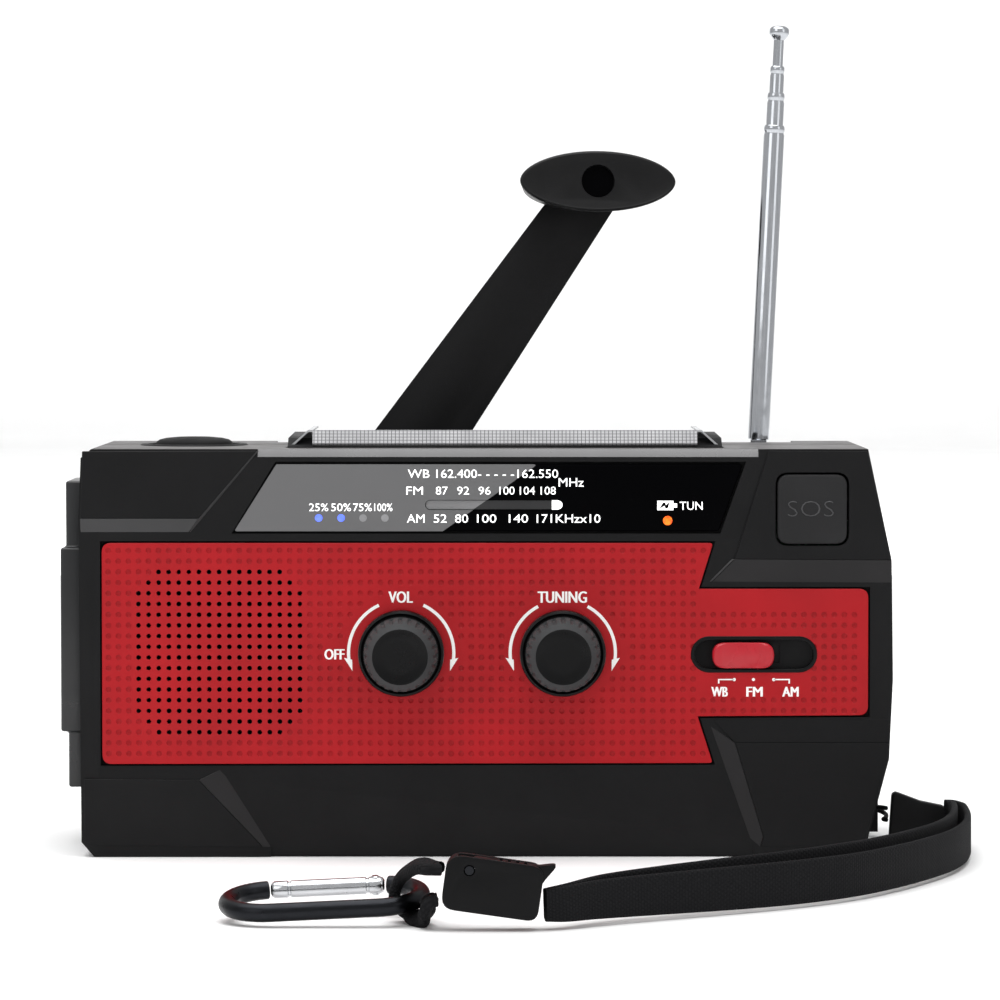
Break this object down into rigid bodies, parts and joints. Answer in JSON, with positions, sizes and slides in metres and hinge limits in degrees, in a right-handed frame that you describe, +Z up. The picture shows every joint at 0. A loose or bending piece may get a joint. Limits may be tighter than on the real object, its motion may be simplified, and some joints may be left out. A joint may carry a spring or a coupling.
{
  "type": "emergency radio",
  "caption": "Hand-crank and solar emergency radio with a telescopic mast, tuning dial, side sockets, torch and a wrist strap on a carabiner.",
  "frame": {"origin": "centre of the face that the case stands on", "axes": "+X to the right seen from the front, +Y to the back, +Z up"},
  "size_m": [0.1773, 0.184, 0.1623],
  "materials": {
    "case_black": "fine moulded grain",
    "panel_red": "dimpled satin",
    "slider_red": "gloss",
    "gloss_black": "gloss",
    "circuit_board": "solder resist",
    "white_nylon": "moulded",
    "brass": "turned",
    "steel": "brushed",
    "ferrite": "matte",
    "cell_wrap": "shrink wrap",
    "chrome": "polished",
    "clear_plastic": "clear",
    "solar": "cell with fine grid",
    "rubber": "matte",
    "webbing": "woven nylon",
    "anodised_bar": "black anodised",
    "gate_silver": "polished"
  },
  "bodies": {
    "case": {"front_shell": "case_black", "rear_shell": "case_black", "front_panel": "panel_red", "display_window": "gloss_black", "dial_board": "circuit_board", "main_board": "circuit_board", "speaker": "ferrite", "volume_pot": "steel", "tuning_capacitor": "white_nylon", "band_switch": "steel", "ferrite_rod": "ferrite", "battery_cell": "cell_wrap", "battery_door": "case_black", "dynamo": "steel", "torch_reflector": "chrome", "torch_lens": "clear_plastic", "torch_led": "white_nylon", "port_block": "case_black", "case_screw_1": "steel", "case_screw_2": "steel", "case_screw_3": "steel", "case_screw_4": "steel", "lid_hinge_pin": "steel", "strap_cord": "webbing", "strap_tab": "webbing", "strap_outer_run": "webbing", "strap_inner_run": "webbing", "strap_loop": "webbing", "lock_body": "case_black", "lock_pin": "steel", "carabiner": "anodised_bar"},
    "volume": {"volume_knob": "gloss_black"},
    "tuning": {"tuning_knob": "gloss_black", "tuning_pinion": "white_nylon"},
    "idler": {"dial_idler": "white_nylon"},
    "pointer": {"dial_pointer": "white_nylon"},
    "band_slider": {"band_slider": "slider_red"},
    "sos_button": {"sos_button": "case_black"},
    "lamp_button": {"lamp_button": "case_black"},
    "lid": {"lid_frame": "case_black", "solar_cell": "solar", "solar_cover": "clear_plastic", "lamp_board": "circuit_board"},
    "port_cover": {"port_cover": "rubber"},
    "crank_hub": {"crank_hub": "case_black", "crank_gear": "white_nylon", "crank_pin": "steel"},
    "crank_arm": {"crank_arm": "case_black"},
    "crank_grip": {"crank_grip": "case_black"},
    "step_gear": {"step_gear": "white_nylon"},
    "dynamo_rotor": {"dynamo_pinion": "brass"},
    "mast_base": {"mast_base": "chrome"},
    "mast_1": {"mast_tube_1": "chrome"},
    "mast_2": {"mast_tube_2": "chrome"},
    "mast_3": {"mast_tube_3": "chrome"},
    "mast_4": {"mast_tube_4": "chrome"},
    "lock_lever": {"lock_lever": "case_black"},
    "gate": {"carabiner_gate": "gate_silver"}
  },
  "joints": [
    {"name": "volume_turn", "type": "hinge", "parent": "case", "child": "volume", "pos_m": [-0.0159, -0.03, 0.0393], "axis": [0, -1, 0], "range_deg": [-285, 0]},
    {"name": "tuning_turn", "type": "hinge", "parent": "case", "child": "tuning", "pos_m": [0.0151, -0.03, 0.0393], "axis": [0, -1, 0], "range_deg": [-270, 0]},
    {"name": "idler_spin", "type": "hinge", "parent": "case", "child": "idler", "pos_m": [0.0151, -0.0217, 0.05575], "axis": [0, -1, 0], "range_deg": [-2, 120]},
    {"name": "pointer_slide", "type": "slide", "parent": "case", "child": "pointer", "axis": [1, 0, 0], "range_m": [-0.0235, 0.0002]},
    {"name": "band_switch_slide", "type": "slide", "parent": "case", "child": "band_slider", "axis": [1, 0, 0], "range_m": [0, 0.0042]},
    {"name": "sos_press", "type": "slide", "parent": "case", "child": "sos_button", "axis": [0, 1, 0], "range_m": [0, 0.001], "stiffness_N_per_m": 400, "springref_m": -0.0008},
    {"name": "lamp_button_press", "type": "slide", "parent": "case", "child": "lamp_button", "axis": [0, 0, -1], "range_m": [0, 0.0011], "stiffness_N_per_m": 400, "springref_m": -0.0008},
    {"name": "lid_open", "type": "hinge", "parent": "case", "child": "lid", "pos_m": [0.004, 0.0136, 0.0756], "axis": [-1, 0, 0], "range_deg": [0, 95]},
    {"name": "port_cover_open", "type": "hinge", "parent": "case", "child": "port_cover", "pos_m": [-0.0796, 0.0106, 0.041], "axis": [0, 0, -1], "range_deg": [0, 110]},
    {"name": "crank_spin", "type": "hinge", "parent": "case", "child": "crank_hub", "pos_m": [-0.0285, 0.027, 0.057], "axis": [0, -1, 0], "continuous": true},
    {"name": "crank_fold", "type": "hinge", "parent": "crank_hub", "child": "crank_arm", "pos_m": [-0.0285, 0.0312, 0.057], "axis": [-0.8211, 0, 0.5707], "range_deg": [-10, 170]},
    {"name": "grip_spin", "type": "hinge", "parent": "crank_arm", "child": "crank_grip", "pos_m": [0.02158, 0.04667, 0.12905], "axis": [-0.0991, 0.9848, -0.1426], "continuous": true},
    {"name": "step_gear_spin", "type": "hinge", "parent": "case", "child": "step_gear", "pos_m": [-0.0384, 0.02, 0.0471], "axis": [0, -1, 0], "continuous": true},
    {"name": "dynamo_spin", "type": "hinge", "parent": "case", "child": "dynamo_rotor", "pos_m": [-0.04879, 0.018, 0.03671], "axis": [0, -1, 0], "continuous": true},
    {"name": "mast_swivel", "type": "hinge", "parent": "case", "child": "mast_base", "pos_m": [0.055, 0.021, 0.072], "axis": [0, 0, -1], "continuous": true},
    {"name": "mast_fold", "type": "hinge", "parent": "mast_base", "child": "mast_1", "pos_m": [0.055, 0.021, 0.0752], "axis": [0, 1, 0], "range_deg": [-92.8, 4]},
    {"name": "mast_slide_1", "type": "slide", "parent": "mast_1", "child": "mast_2", "axis": [0.0489, 0, 0.9988], "range_m": [0, 0.052]},
    {"name": "mast_slide_2", "type": "slide", "parent": "mast_2", "child": "mast_3", "axis": [0.0489, 0, 0.9988], "range_m": [0, 0.052]},
    {"name": "mast_slide_3", "type": "slide", "parent": "mast_3", "child": "mast_4", "axis": [0.0489, 0, 0.9988], "range_m": [0, 0.052]},
    {"name": "lock_release", "type": "hinge", "parent": "case", "child": "lock_lever", "pos_m": [-0.00212, -0.131, 0.01038], "axis": [0, -1, 0], "range_deg": [0, 32], "stiffness_Nm_per_rad": 0.02, "springref_deg": -22.92},
    {"name": "gate_open", "type": "hinge", "parent": "case", "child": "gate", "pos_m": [-0.01719, -0.11274, 0.00536], "axis": [-0.0466, -0.1392, 0.9892], "range_deg": [0, 20], "stiffness_Nm_per_rad": 0.03, "springref_deg": -22.92}
  ],
  "couplings": [
    {"joint": "idler_spin", "follows": "tuning_turn", "ratio": -0.42424},
    {"joint": "pointer_slide", "follows": "tuning_turn", "m_per_rad": 0.0049},
    {"joint": "step_gear_spin", "follows": "crank_spin", "ratio": -2.3333},
    {"joint": "dynamo_spin", "follows": "crank_spin", "ratio": 7.4667}
  ]
}
